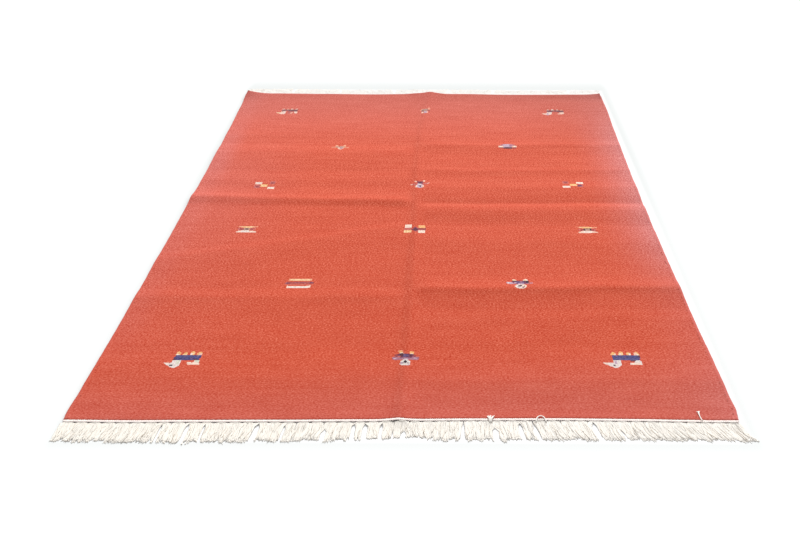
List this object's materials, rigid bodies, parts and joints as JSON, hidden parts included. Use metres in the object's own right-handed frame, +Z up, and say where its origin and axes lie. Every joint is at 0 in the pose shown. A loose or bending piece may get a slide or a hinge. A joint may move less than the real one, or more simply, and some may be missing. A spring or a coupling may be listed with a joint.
{
  "type": "kilim rug",
  "caption": "Flat rectangular flat-woven wool rug with small woven animal and geometric motifs and knotted cotton fringes, lying on the floor with soft storage creases.",
  "frame": {"origin": "centre of the rug's box at floor level", "axes": "+Z up from the floor, +Y along the length towards the far fringe, +X across the width"},
  "size_m": [1.738, 2.5704, 0.0188],
  "materials": {
    "wool_weave": "weft-faced wool flat weave, coral red, matt with slight heathering",
    "cotton_fringe": "undyed cotton yarn, cream, matt, knotted and loose at the ends"
  },
  "bodies": {
    "root": {"kilim_cloth": "wool_weave", "fringe_near": "cotton_fringe", "fringe_far": "cotton_fringe"}
  },
  "joints": []
}
